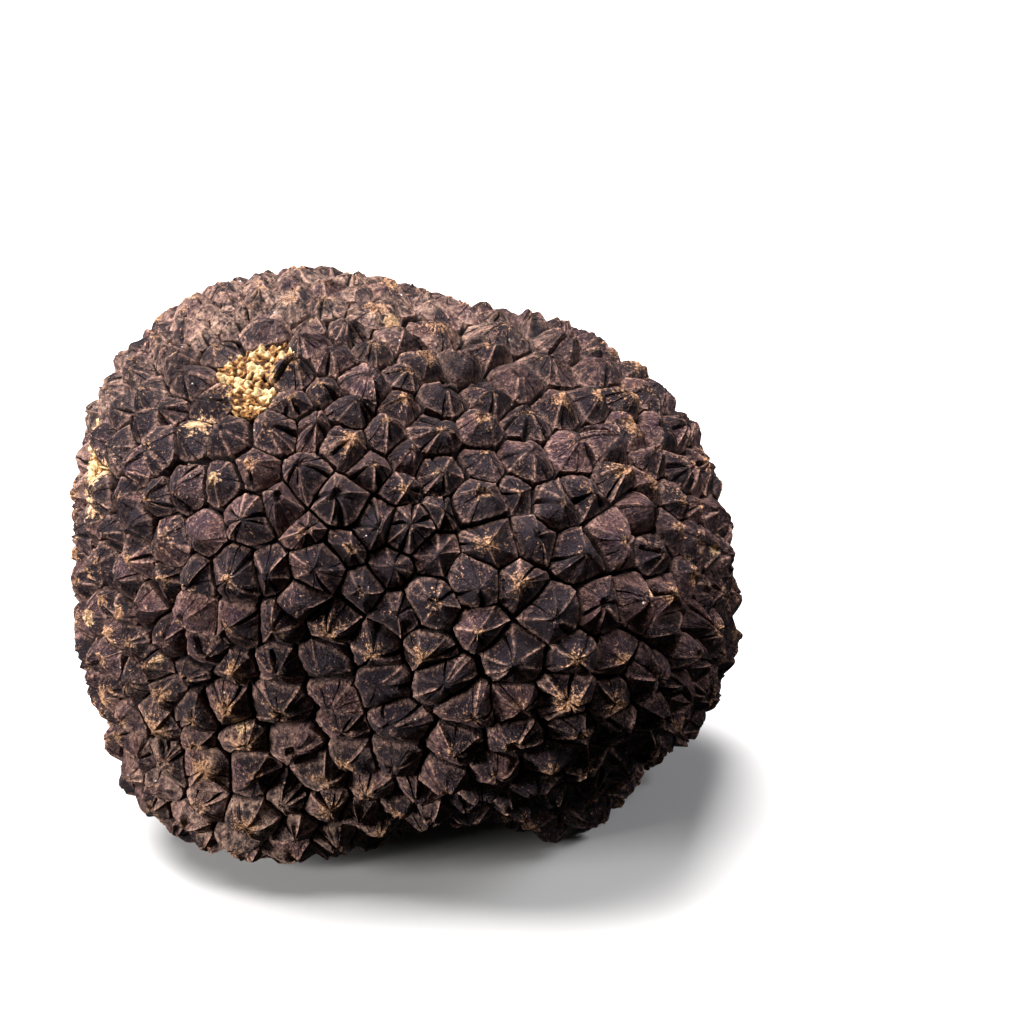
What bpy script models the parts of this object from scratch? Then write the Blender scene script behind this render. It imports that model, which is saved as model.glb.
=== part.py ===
"""Summer truffle, built as the one body that it grew as.

A few overlapping lobes blend into the body. Peaks are scattered over it with room for a wart round each, and
the ground that is nearest to a peak is that wart's cell. Each cell is raised into a low pyramid: a furrow
round its border, a steep wall up to a shoulder, and facets from there to the peak. Warts that would reach
below the surface that the truffle stands on are worn flat there, and where warts have broken off the cell is
left sunken. Metres, +Z up. The side that faces the viewer is -Y.
"""

import bmesh
import bpy
import numpy as np

MM = 0.001

# Body: each lobe is a centre and the half widths along X, Y and Z
LOBES = {
    "crown": ((-8.5 * MM, 2.0 * MM, 34.9 * MM), (21.8 * MM, 26.0 * MM, 19.0 * MM)),
    "left_cheek": ((-15.4 * MM, 0.0 * MM, 22.0 * MM), (15.3 * MM, 19.0 * MM, 14.6 * MM)),
    "right_shoulder": ((8.9 * MM, 4.0 * MM, 26.4 * MM), (22.1 * MM, 24.0 * MM, 22.2 * MM)),
    "near_bulge": ((7.0 * MM, -9.0 * MM, 25.5 * MM), (19.4 * MM, 16.5 * MM, 18.3 * MM)),
    "rear_lobe": ((21.2 * MM, 13.0 * MM, 16.1 * MM), (11.9 * MM, 14.0 * MM, 14.9 * MM)),
    "left_foot": ((-11.0 * MM, -2.0 * MM, 10.4 * MM), (16.5 * MM, 16.0 * MM, 10.3 * MM)),
    "right_foot": ((14.9 * MM, 2.0 * MM, 9.6 * MM), (7.8 * MM, 12.0 * MM, 10.1 * MM)),
    "rear_foot": ((2.0 * MM, 15.0 * MM, 10.0 * MM), (12.0 * MM, 10.0 * MM, 9.8 * MM)),
}
CORE = (0.0 * MM, 2.0 * MM, 25.0 * MM)  # every point of the surface can be seen from here
BLEND_SHARPNESS = 8.0  # the higher, the deeper the creases between lobes
MOST_REACH = 45.0 * MM  # from the core to beyond the furthest point
SWELL_HEIGHT = 0.35 * MM  # low swellings all over the body
SWELL_COUNT = 6
SWELL_WAVE = 5.0  # radians of swelling per radian round the core

# Warts
WART_WIDTH = 4.4 * MM
BROAD_WART_WIDTH = 4.8 * MM  # on the near bulge
BROAD_PLACE = (10.0 * MM, -22.0 * MM, 28.0 * MM)
BROAD_SPREAD = 16.0 * MM
SMALL_WART_WIDTH = 3.9 * MM  # on the left cheek
SMALL_PLACE = (-26.0 * MM, -12.0 * MM, 30.0 * MM)
SMALL_SPREAD = 20.0 * MM
ROOM_SHARE = 0.866  # area of a wart's ground over the square of its width, as in a honeycomb
HOLD_SPREAD = 1.4 * MM * MM  # how unequally neighbours share the ground between them
RELAX_STEPS = 6
COARSE_GRID = 7  # times that the icosahedron is divided, to place the seeds
FINE_GRID = 8  # and to find where cells meet
SEED = 29

FURROW_DEPTH = 1.0 * MM
SHOULDER_SHARE = 0.86  # of the way from the peak to the border
SHOULDER_HEIGHT = 0.15 * MM
PEAK_SLOPE = 0.41  # height of the peak for each unit of the wart's radius
PEAK_SPREAD = 0.22  # share by which peak heights differ
PEAK_SHIFT = 0.45 * MM  # how far a peak may be off its cell's centre, each way
SHORTEST_EDGE = 0.5 * MM

# Places where warts have broken off: a point near the surface, and a radius
CHIPS = (
    ((-13.5 * MM, -13.0 * MM, 49.0 * MM), 3.9 * MM),
    ((-29.0 * MM, -5.0 * MM, 38.5 * MM), 3.4 * MM),
)
CHIP_DEPTH = 0.45 * MM

TO_ORIGIN = (-1.424 * MM, -1.332 * MM, 0.0 * MM)  # brings the middle of its bottom to the origin

TRUFFLE_COLOUR = (0.030, 0.019, 0.015, 1.0)
TRUFFLE_ROUGHNESS = 0.62


def unit(vectors):
    return vectors / np.linalg.norm(vectors, axis=-1, keepdims=True)


def sphere_grid(level):
    """Directions all round from an evenly divided icosahedron, and the triangles between them."""
    grid = bmesh.new()
    bmesh.ops.create_icosphere(grid, subdivisions=level, radius=1.0)
    directions = unit(np.array([vert.co[:] for vert in grid.verts]))
    triangles = np.array([[vert.index for vert in face.verts] for face in grid.faces])
    grid.free()
    return directions, triangles


def inside_body(points):
    """Above 1 inside the blended lobes, and below 1 outside."""
    total = np.zeros(len(points))
    for centre, half in LOBES.values():
        share = np.linalg.norm((points - np.array(centre)) / np.array(half), axis=-1)
        total += np.exp(-BLEND_SHARPNESS * (share - 1))
    return total


def swell(directions):
    """Low swellings: a sum of sine waves that run in random directions."""
    draw = np.random.default_rng(SEED)
    waves = unit(draw.normal(size=(SWELL_COUNT, 3))) * SWELL_WAVE
    starts = draw.uniform(0, 2 * np.pi, SWELL_COUNT)
    return SWELL_HEIGHT * np.sin(directions @ waves.T + starts).sum(axis=-1) / np.sqrt(SWELL_COUNT)


def body_points(directions):
    """Where lines from the core in these directions leave the body, found by halving."""
    low = np.zeros(len(directions))
    high = np.full(len(directions), MOST_REACH)
    for _ in range(24):
        middle = (low + high) / 2
        inside = inside_body(CORE + directions * middle[:, None]) > 1
        low = np.where(inside, middle, low)
        high = np.where(inside, high, middle)
    return CORE + directions * (low + swell(directions))[:, None]


def onto_body(points):
    return body_points(unit(points - CORE))


def side_directions(directions):
    """Two directions at right angles to each other and to each given one."""
    helper = np.where(np.abs(directions[:, 2:]) < 0.8, (0.0, 0.0, 1.0), (1.0, 0.0, 0.0))
    first = unit(np.cross(helper, directions))
    return first, np.cross(directions, first)


def body_normals(points):
    """Outward directions, from how the body runs to either side of each point."""
    step = 0.02  # radians round the core
    directions = unit(points - CORE)
    first, second = side_directions(directions)
    along = body_points(unit(directions + step * first)) - body_points(unit(directions - step * first))
    across = body_points(unit(directions + step * second)) - body_points(unit(directions - step * second))
    return unit(np.cross(along, across))


def wart_widths(points):
    """The width that warts have at these points: broad on the near bulge, small on the left cheek."""
    broad = np.exp(-(((points - BROAD_PLACE) ** 2).sum(axis=-1)) / BROAD_SPREAD**2)
    small = np.exp(-(((points - SMALL_PLACE) ** 2).sum(axis=-1)) / SMALL_SPREAD**2)
    return WART_WIDTH + (BROAD_WART_WIDTH - WART_WIDTH) * broad - (WART_WIDTH - SMALL_WART_WIDTH) * small


def grid_areas(points, triangles):
    """The area round each point: a third of each triangle that it is a corner of."""
    first, second, third = (points[triangles[:, side]] for side in range(3))
    areas = np.linalg.norm(np.cross(second - first, third - first), axis=-1) / 6
    return sum(np.bincount(triangles[:, side], areas, len(points)) for side in range(3))


def nearest_seed(points, seeds, hold):
    """For each point, the seed with the least squared distance less the seed's hold."""
    score = 2 * points @ seeds.T - ((seeds**2).sum(axis=-1) - hold)
    return score.argmax(axis=1)


def scatter_warts():
    """A seed on the body for each wart, and how strongly each holds the ground round it.

    Seeds are drawn at random where the surface has room for them, then moved a few times to the middle of
    the ground that is nearest to each, so that they spread out but stay irregular.
    """
    draw = np.random.default_rng(SEED)
    directions, triangles = sphere_grid(COARSE_GRID)
    points = body_points(directions)
    crowding = 1 / (ROOM_SHARE * wart_widths(points) ** 2)
    expected = grid_areas(points, triangles) * crowding
    count = round(expected.sum())
    seeds = points[draw.choice(len(points), count, replace=False, p=expected / expected.sum())]
    hold = HOLD_SPREAD * np.clip(draw.normal(size=count), -1.8, 1.8)
    pull = expected * crowding
    for _ in range(RELAX_STEPS):
        owner = nearest_seed(points, seeds, 0)
        weight = np.bincount(owner, pull, count)
        middle = [np.bincount(owner, pull * points[:, axis], count) / weight for axis in range(3)]
        seeds = np.round(onto_body(np.stack(middle, axis=-1)), 9)
    return seeds, hold


def equally_near(trio, hold):
    """Points of the body that are equally near to three seeds, each less its hold.

    They lie on a line across the plane of the seeds, which is followed from inside the body to outside.
    """
    first = trio[:, 0]
    across = np.cross(trio[:, 1] - first, trio[:, 2] - first)
    across = unit(across * np.sign((across * (first - CORE)).sum(axis=-1))[:, None])
    power = (trio**2).sum(axis=-1) - hold
    sides = np.stack([2 * (trio[:, 1] - first), 2 * (trio[:, 2] - first), across], axis=1)
    level = (across * first).sum(axis=-1)
    values = np.stack([power[:, 1] - power[:, 0], power[:, 2] - power[:, 0], level], axis=-1)
    middle = np.linalg.solve(sides, values[:, :, None])[:, :, 0]
    low = np.full(len(trio), -WART_WIDTH)
    high = np.full(len(trio), WART_WIDTH)
    for _ in range(16):
        half = (low + high) / 2
        inside = inside_body(middle + across * half[:, None]) > 1
        low = np.where(inside, half, low)
        high = np.where(inside, high, half)
    return onto_body(middle + across * low[:, None])


def join_near(corners):
    """Corners less than the shortest edge apart become one, in the middle of them."""
    group = np.arange(len(corners))
    for corner in range(len(corners)):
        near = np.linalg.norm(corners - corners[corner], axis=-1) < SHORTEST_EDGE
        group[np.isin(group, group[near])] = group[corner]
    members, group = np.unique(group, return_inverse=True)
    sums = [np.bincount(group, corners[:, axis], len(members)) for axis in range(3)]
    return onto_body(np.stack(sums, axis=-1) / np.bincount(group)[:, None]), group


def wart_cells(seeds, hold):
    """Corner points on the body, and for each wart the numbers of its corners in order round it.

    A corner is where the ground of three seeds meets.
    """
    directions, triangles = sphere_grid(FINE_GRID)
    owner = nearest_seed(body_points(directions), seeds, hold)[triangles]
    owner = np.sort(owner, axis=1)
    three = (owner[:, 0] != owner[:, 1]) & (owner[:, 1] != owner[:, 2])
    meeting = np.unique(owner[three], axis=0)
    corners, number = join_near(equally_near(seeds[meeting], hold[meeting]))
    right, up = side_directions(body_normals(seeds))
    cells = []
    for wart in range(len(seeds)):
        mine = np.unique(number[(meeting == wart).any(axis=1)])
        offset = corners[mine] - seeds[wart]
        turn = np.arctan2(offset @ up[wart], offset @ right[wart])
        if len(mine) > 2:
            cells.append(mine[np.argsort(turn)])
    return corners, cells


def truffle_mesh():
    """Points and triangles: for each wart a wall up from the furrow, and facets from it to the peak."""
    seeds, hold = scatter_warts()
    corners, cells = wart_cells(seeds, hold)
    draw = np.random.default_rng(SEED + 1)
    middles = np.array([corners[cell].mean(axis=0) for cell in cells])
    radii = [np.linalg.norm(corners[cell] - middle, axis=-1).mean() for cell, middle in zip(cells, middles)]
    feet = onto_body(middles + draw.uniform(-PEAK_SHIFT, PEAK_SHIFT, (len(cells), 3)))
    axes = body_normals(feet)
    steepness = PEAK_SLOPE * (1 + PEAK_SPREAD * np.clip(draw.normal(size=len(cells)), -2, 2))
    peak_heights = np.array(radii) * steepness
    chipped = np.zeros(len(cells), bool)
    for place, radius in CHIPS:
        chipped |= np.linalg.norm(feet - np.array(place), axis=-1) < radius
    peak_heights = np.where(chipped, -CHIP_DEPTH, peak_heights)
    shoulder_heights = np.where(chipped, -CHIP_DEPTH, SHOULDER_HEIGHT)

    furrow = corners - body_normals(corners) * FURROW_DEPTH
    owner = np.repeat(np.arange(len(cells)), [len(cell) for cell in cells])
    border = corners[np.concatenate(cells)]
    shoulders = onto_body(feet[owner] + SHOULDER_SHARE * (border - feet[owner]))
    shoulders += axes[owner] * shoulder_heights[owner, None]
    tops = feet + axes * peak_heights[:, None]
    points = np.concatenate([furrow, shoulders, tops])
    points[:, 2] = np.maximum(points[:, 2], 0)
    points += TO_ORIGIN

    faces = []
    start = len(furrow)
    for wart, cell in enumerate(cells):
        top = len(furrow) + len(shoulders) + wart
        for side in range(len(cell)):
            after = (side + 1) % len(cell)
            low, low_after = int(cell[side]), int(cell[after])
            high, high_after = start + side, start + after
            faces += [(low, low_after, high_after), (low, high_after, high), (high, high_after, top)]
        start += len(cell)
    return points, faces


def truffle_material():
    material = bpy.data.materials.new("truffle_skin")
    material.use_nodes = True
    shader = material.node_tree.nodes["Principled BSDF"]
    shader.inputs["Base Color"].default_value = TRUFFLE_COLOUR
    shader.inputs["Roughness"].default_value = TRUFFLE_ROUGHNESS
    shader.inputs["Metallic"].default_value = 0.0
    return material


def build_truffle():
    points, faces = truffle_mesh()
    mesh = bpy.data.meshes.new("truffle")
    mesh.from_pydata(points.tolist(), [], faces)
    mesh.materials.append(truffle_material())
    truffle = bpy.data.objects.new("truffle", mesh)
    bpy.context.scene.collection.objects.link(truffle)


for old in list(bpy.data.objects):
    bpy.data.objects.remove(old)
build_truffle()
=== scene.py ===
"""The looks of a summer truffle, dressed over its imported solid.

The body, the peaks and the cells of the warts follow the same formulas as the solid. Here each wart is a fine
closed surface rooted in a core: facets that fall from a crumbly tip to a shoulder, ridges towards the corners
of its cell, radial cracks and grooves, and a wall down into the furrow. Where warts have broken off, the pale
flesh shows. Lengths are in metres, worked out from millimetres with MM and mm().
"""

import math

import bmesh
import bpy
import numpy as np
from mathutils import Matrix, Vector


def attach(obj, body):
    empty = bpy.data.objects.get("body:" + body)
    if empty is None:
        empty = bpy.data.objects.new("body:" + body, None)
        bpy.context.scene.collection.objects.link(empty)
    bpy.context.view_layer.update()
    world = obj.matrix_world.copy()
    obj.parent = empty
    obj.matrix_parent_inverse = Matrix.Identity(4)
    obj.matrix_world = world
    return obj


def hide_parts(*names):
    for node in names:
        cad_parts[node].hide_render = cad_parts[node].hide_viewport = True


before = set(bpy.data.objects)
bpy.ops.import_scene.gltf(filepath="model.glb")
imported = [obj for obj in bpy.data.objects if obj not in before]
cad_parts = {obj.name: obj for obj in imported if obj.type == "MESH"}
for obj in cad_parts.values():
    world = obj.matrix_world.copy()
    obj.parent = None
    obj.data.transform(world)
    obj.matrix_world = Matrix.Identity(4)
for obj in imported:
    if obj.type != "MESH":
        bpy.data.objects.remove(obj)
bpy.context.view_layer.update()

MM = 0.001


def mm(*lengths):
    """Lengths in millimetres, in metres."""
    return tuple(length * MM for length in lengths)


# Each kind of random draw has a seed of its own
SEED = 29
HEIGHT_SEED = SEED + 1
BEND_SEED = SEED + 40
LUMP_SEED = SEED + 50
CRUMB_SEED = SEED + 51
FLESH_SEED = SEED + 60
CORE_SEED = SEED + 70
WART_SEED = SEED + 100

# Body, as in the solid: each lobe is a centre and the half widths along X, Y and Z
LOBES = {
    "crown": (mm(-8.5, 2.0, 34.9), mm(21.8, 26.0, 19.0)),
    "left_cheek": (mm(-15.4, 0.0, 22.0), mm(15.3, 19.0, 14.6)),
    "right_shoulder": (mm(8.9, 4.0, 26.4), mm(22.1, 24.0, 22.2)),
    "near_bulge": (mm(7.0, -9.0, 25.5), mm(19.4, 16.5, 18.3)),
    "rear_lobe": (mm(21.2, 13.0, 16.1), mm(11.9, 14.0, 14.9)),
    "left_foot": (mm(-11.0, -2.0, 10.4), mm(16.5, 16.0, 10.3)),
    "right_foot": (mm(14.9, 2.0, 9.6), mm(7.8, 12.0, 10.1)),
    "rear_foot": (mm(2.0, 15.0, 10.0), mm(12.0, 10.0, 9.8)),
}
CORE = mm(0.0, 2.0, 25.0)
BLEND_SHARPNESS = 8.0
MOST_REACH = 45.0 * MM
BODY_HALVINGS = 24
SWELL_HEIGHT = 0.35 * MM
SWELL_COUNT = 6
SWELL_WAVE = 5.0

# Cells of the warts: their width, how evenly they are scattered, and how the seeds hold their ground
WART_WIDTH = 4.4 * MM
BROAD_WART_WIDTH = 4.8 * MM
BROAD_PLACE = mm(10.0, -22.0, 28.0)
BROAD_SPREAD = 16.0 * MM
SMALL_WART_WIDTH = 3.9 * MM
SMALL_PLACE = mm(-26.0, -12.0, 30.0)
SMALL_SPREAD = 20.0 * MM
ROOM_SHARE = 0.866
HOLD_SPREAD = 1.4 * MM * MM
HOLD_LIMIT = 1.8  # times the spread
RELAX_STEPS = 6
SEED_DIGITS = 9
COARSE_GRID = 7
FINE_GRID = 8
CORNER_HALVINGS = 16
SHORTEST_EDGE = 0.5 * MM

# Tips: how steeply warts rise to them, by how much that differs, and how far they stand from the middle
PEAK_SLOPE = 0.41
PEAK_SPREAD = 0.22
PEAK_LIMIT = 2.0  # times the spread
PEAK_SHIFT = 0.45 * MM
FURROW_DEPTH = 1.3 * MM
TO_ORIGIN = mm(-1.424, -1.332, 0.0)

# Where warts have broken off: the middle of each place, and its radius
CHIPS = (
    (mm(-13.5, -13.0, 49.0), 3.9 * MM),
    (mm(-29.0, -5.0, 38.5), 3.4 * MM),
)

UPRIGHT = 0.8  # from here on a direction counts as upright
NORMAL_STEP = 0.02


def unit(vectors):
    return vectors / np.linalg.norm(vectors, axis=-1, keepdims=True)


def sphere_grid(level):
    """Directions all round from an evenly divided icosahedron, and the triangles between them."""
    grid = bmesh.new()
    bmesh.ops.create_icosphere(grid, subdivisions=level, radius=1.0)
    directions = unit(np.array([vert.co[:] for vert in grid.verts]))
    triangles = np.array([[vert.index for vert in face.verts] for face in grid.faces])
    grid.free()
    return directions, triangles


def inside_body(points):
    """Sum over the lobes of exp(-sharpness * (share - 1)): above 1 inside the body, below 1 outside."""
    total = np.zeros(len(points))
    for centre, half in LOBES.values():
        share = np.linalg.norm((points - np.array(centre)) / np.array(half), axis=-1)
        total += np.exp(-BLEND_SHARPNESS * (share - 1))
    return total


def swell(directions):
    """Low swellings: a sum of sine waves that run in random directions."""
    draw = np.random.default_rng(SEED)
    runs = unit(draw.normal(size=(SWELL_COUNT, 3))) * SWELL_WAVE
    starts = draw.uniform(0, 2 * np.pi, SWELL_COUNT)
    return SWELL_HEIGHT * np.sin(directions @ runs.T + starts).sum(axis=-1) / np.sqrt(SWELL_COUNT)


def last_inside(starts, directions, least, most, halvings):
    """How far along lines from these starts the body ends, found by halving the room from least to most."""
    low = np.full(len(starts), least)
    high = np.full(len(starts), most)
    for _ in range(halvings):
        middle = (low + high) / 2
        inside = inside_body(starts + directions * middle[:, None]) > 1
        low = np.where(inside, middle, low)
        high = np.where(inside, high, middle)
    return low


def body_points(directions):
    """Where lines from the core in these directions leave the body."""
    starts = np.full(directions.shape, CORE)
    reach = last_inside(starts, directions, 0.0, MOST_REACH, BODY_HALVINGS)
    return starts + directions * (reach + swell(directions))[:, None]


def onto_body(points):
    """Points of any array shape, moved along lines from the core onto the body."""
    flat = body_points(unit(points - CORE).reshape(-1, 3))
    return flat.reshape(points.shape)


def side_directions(directions):
    """Two directions at right angles to each other and to each given one, by cross products with Z or X."""
    helper = np.where(np.abs(directions[:, 2:]) < UPRIGHT, (0.0, 0.0, 1.0), (1.0, 0.0, 0.0))
    first = unit(np.cross(helper, directions))
    return first, np.cross(directions, first)


def body_normals(points):
    """Outward directions: the cross product of how the body runs to either side of each point."""
    directions = unit(points - CORE)
    first, second = (NORMAL_STEP * side for side in side_directions(directions))
    along = body_points(unit(directions + first)) - body_points(unit(directions - first))
    across = body_points(unit(directions + second)) - body_points(unit(directions - second))
    return unit(np.cross(along, across))


def wart_widths(points):
    """The usual width, and more or less of it by exp(-(distance / spread)²) around two places."""
    broad = np.exp(-(((points - BROAD_PLACE) ** 2).sum(axis=-1)) / BROAD_SPREAD**2)
    small = np.exp(-(((points - SMALL_PLACE) ** 2).sum(axis=-1)) / SMALL_SPREAD**2)
    return WART_WIDTH + (BROAD_WART_WIDTH - WART_WIDTH) * broad - (WART_WIDTH - SMALL_WART_WIDTH) * small


def grid_areas(points, triangles):
    """The area round each point: a third of each triangle that it is a corner of, by half a cross product."""
    first, second, third = (points[triangles[:, side]] for side in range(3))
    areas = np.linalg.norm(np.cross(second - first, third - first), axis=-1) / 6
    return sum(np.bincount(triangles[:, side], areas, len(points)) for side in range(3))


def nearest_seed(points, seeds, hold):
    """For each point, the seed with the least squared distance less the seed's hold."""
    score = 2 * points @ seeds.T - ((seeds**2).sum(axis=-1) - hold)
    return score.argmax(axis=1)


def scatter_warts():
    """Seeds drawn where the body has room, then moved step by step to the middle of their own ground."""
    draw = np.random.default_rng(SEED)
    directions, triangles = sphere_grid(COARSE_GRID)
    points = body_points(directions)
    crowding = 1 / (ROOM_SHARE * wart_widths(points) ** 2)
    expected = grid_areas(points, triangles) * crowding
    count = round(expected.sum())
    seeds = points[draw.choice(len(points), count, replace=False, p=expected / expected.sum())]
    hold = HOLD_SPREAD * np.clip(draw.normal(size=count), -HOLD_LIMIT, HOLD_LIMIT)
    pull = expected * crowding
    for _ in range(RELAX_STEPS):
        owner = nearest_seed(points, seeds, 0)
        weight = np.bincount(owner, pull, count)
        middle = [np.bincount(owner, pull * points[:, axis], count) / weight for axis in range(3)]
        seeds = np.round(onto_body(np.stack(middle, axis=-1)), SEED_DIGITS)
    return seeds, hold


def equally_near(trio, hold):
    """Where the line of points equally near to three seeds, each less its hold, leaves the body."""
    first = trio[:, 0]
    across = np.cross(trio[:, 1] - first, trio[:, 2] - first)
    across = unit(across * np.sign((across * (first - CORE)).sum(axis=-1))[:, None])
    power = (trio**2).sum(axis=-1) - hold
    sides = np.stack([2 * (trio[:, 1] - first), 2 * (trio[:, 2] - first), across], axis=1)
    level = (across * first).sum(axis=-1)
    values = np.stack([power[:, 1] - power[:, 0], power[:, 2] - power[:, 0], level], axis=-1)
    middle = np.linalg.solve(sides, values[:, :, None])[:, :, 0]
    reach = last_inside(middle, across, -WART_WIDTH, WART_WIDTH, CORNER_HALVINGS)
    return onto_body(middle + across * reach[:, None])


def join_near(corners):
    """Corners less than the shortest edge apart become one, in the middle of them."""
    group = np.arange(len(corners))
    for corner in range(len(corners)):
        close = np.linalg.norm(corners - corners[corner], axis=-1) < SHORTEST_EDGE
        group[np.isin(group, group[close])] = group[corner]
    members, group = np.unique(group, return_inverse=True)
    sums = [np.bincount(group, corners[:, axis], len(members)) for axis in range(3)]
    return onto_body(np.stack(sums, axis=-1) / np.bincount(group)[:, None]), group


def wart_cells(seeds, hold):
    """Corner points on the body, and for each wart the numbers of its corners in order round it."""
    directions, triangles = sphere_grid(FINE_GRID)
    owner = nearest_seed(body_points(directions), seeds, hold)[triangles]
    owner = np.sort(owner, axis=1)
    three = (owner[:, 0] != owner[:, 1]) & (owner[:, 1] != owner[:, 2])
    meeting = np.unique(owner[three], axis=0)
    corners, number = join_near(equally_near(seeds[meeting], hold[meeting]))
    right, up = side_directions(body_normals(seeds))
    cells = []
    for wart in range(len(seeds)):
        mine = np.unique(number[(meeting == wart).any(axis=1)])
        offset = corners[mine] - seeds[wart]
        turn = np.arctan2(offset @ up[wart], offset @ right[wart])
        if len(mine) > 2:
            cells.append(mine[np.argsort(turn)])
    return corners, cells


class Warts:
    """Where each wart stands: its foot and axis, the corners of its cell, its radius and its height."""

    def __init__(self):
        seeds, hold = scatter_warts()
        self.corners, self.cells = wart_cells(seeds, hold)
        self.corner_normals = body_normals(self.corners)
        draw = np.random.default_rng(HEIGHT_SEED)
        middles = np.array([self.corners[cell].mean(axis=0) for cell in self.cells])
        pairs = zip(self.cells, middles)
        self.radii = np.array([np.linalg.norm(self.corners[cell] - at, axis=-1).mean() for cell, at in pairs])
        self.feet = onto_body(middles + draw.uniform(-PEAK_SHIFT, PEAK_SHIFT, (len(self.cells), 3)))
        self.axes = body_normals(self.feet)
        spread = PEAK_SPREAD * np.clip(draw.normal(size=len(self.cells)), -PEAK_LIMIT, PEAK_LIMIT)
        self.heights = self.radii * (PEAK_SLOPE * (1 + spread))
        self.chipped = np.zeros(len(self.cells), bool)
        for place, radius in CHIPS:
            self.chipped |= np.linalg.norm(self.feet - np.array(place), axis=-1) < radius


WAVE_COUNT = 9
WAVE_PEAK = 1.6


def waves(points, length, seed):
    """Smooth noise from about -1 to 1: a mean of sine waves of one length that run in random directions."""
    draw = np.random.default_rng(seed)
    directions = unit(draw.normal(size=(WAVE_COUNT, 3))) * (2 * np.pi / length)
    starts = draw.uniform(0, 2 * np.pi, WAVE_COUNT)
    total = np.zeros(points.shape[:-1])
    for direction, start in zip(directions, starts):
        total += np.sin(points @ direction + start)
    return total / np.sqrt(WAVE_COUNT / 2) / WAVE_PEAK


BEND = 0.16 * MM
BEND_LENGTH = 4.0 * MM


def bend(points):
    """Moves points a little sideways by smooth noise, so that furrows and ridges aren't dead straight."""
    shift = np.stack([waves(points, BEND_LENGTH, BEND_SEED + axis) for axis in range(3)], axis=-1)
    return points + shift * BEND


LEAST_COLUMNS = 2  # to each side of a cell


def corner_marks(lengths, columns):
    """Which columns run to the corners of a cell, shared out by the lengths of its sides."""
    marks = np.round(np.concatenate([[0], np.cumsum(lengths)]) / lengths.sum() * columns).astype(int)
    for side in range(1, len(marks)):
        marks[side] = max(marks[side], marks[side - 1] + LEAST_COLUMNS)
    marks[-1] = columns
    for side in range(len(marks) - 2, 0, -1):
        marks[side] = min(marks[side], marks[side + 1] - LEAST_COLUMNS)
    return marks


class Cells:
    """The cells of the chosen warts as tables, so that all of their columns are worked out at once.

    A column's place round the border is a number whose whole part is the side of the cell that it runs to,
    and whose fraction is how far along that side.
    """

    def __init__(self, warts, chosen, columns):
        self.feet = warts.feet[chosen]
        self.axes = warts.axes[chosen]
        self.radii = warts.radii[chosen]
        self.heights = warts.heights[chosen]
        self.columns = columns
        cells = [warts.cells[wart] for wart in chosen]
        self.sides = np.array([len(cell) for cell in cells])
        start = np.array([np.resize(cell, self.sides.max()) for cell in cells])
        end = np.array([np.resize(np.roll(cell, -1), self.sides.max()) for cell in cells])
        self.starts, self.ends = warts.corners[start], warts.corners[end]
        self.start_normals, self.end_normals = warts.corner_normals[start], warts.corner_normals[end]
        self.lengths = np.linalg.norm(self.ends - self.starts, axis=-1)
        self.places = np.zeros((len(cells), columns))
        self.marked = np.zeros((len(cells), columns), bool)
        for row, size in enumerate(self.sides):
            marks = corner_marks(self.lengths[row, :size], columns)
            self.places[row] = np.interp(np.arange(columns), marks, np.arange(size + 1))
            self.marked[row, marks[:-1]] = True

    def border(self, places):
        """Border points, their normals, how far along the border the nearest corner is, the share of the
        way along the side, and the side's length.
        """
        row = np.arange(len(self.feet)).reshape((-1,) + (1,) * (places.ndim - 1))
        side = np.floor(places).astype(int) % self.sides.reshape(row.shape)
        along = (places - np.floor(places))[..., None]
        points = self.starts[row, side] * (1 - along) + self.ends[row, side] * along
        normals = self.start_normals[row, side] * (1 - along) + self.end_normals[row, side] * along
        share = along[..., 0]
        length = self.lengths[row, side]
        return points, unit(normals), np.minimum(share, 1 - share) * length, share, length


def smooth_step(value, low, high):
    """0 up to low, 1 from high on, and 3 s² - 2 s³ between them, where s is the share of the way."""
    share = np.clip((value - low) / (high - low), 0, 1)
    return share * share * (3 - 2 * share)


def bell(value, width):
    """exp(-(value / width)²): 1 at nought, falling to 0 on both sides."""
    return np.exp(-((value / width) ** 2))


def near(points, place, spread):
    """1 at a place, falling to 0 around it."""
    return bell(np.linalg.norm(points - np.array(place), axis=-1), spread)


def near_any(points, places):
    """1 at any of several places, each given with its spread, falling to 0 around them."""
    return np.max([near(points, place, spread) for place, spread in places], axis=0)


# Where the warts stand lower: a place, and its spread
FLAT_PLACES = (
    (mm(-22.0, 6.0, 49.0), 14.0 * MM),
    (mm(-24.0, -10.0, 12.0), 15.0 * MM),
    (mm(29.0, -2.0, 28.0), 13.0 * MM),
    (mm(30.0, 0.0, 15.0), 12.0 * MM),
    (mm(-3.0, 10.0, 53.0), 13.0 * MM),
    (mm(14.0, -8.0, 6.0), 11.0 * MM),
    (mm(-8.0, -12.0, 4.0), 11.0 * MM),
)

# Where the tips are broadly worn and earthy
EARTHY_PLACE = mm(-20.0, -16.0, 14.0)
EARTHY_SPREAD = 17.0 * MM

# Where the rind is darker, partly as painted shade: the middle of each place, its spread and how much darker
SHADE_AND_DARK_PLACES = (
    # Painted shade low under the near bulge
    (mm(15.0, -16.0, 11.0), 10.0 * MM, 0.35),
    (mm(0.0, -22.0, 37.0), 14.0 * MM, 0.24),
    (mm(-22.0, -9.0, 45.0), 10.0 * MM, 0.45),
)

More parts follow.
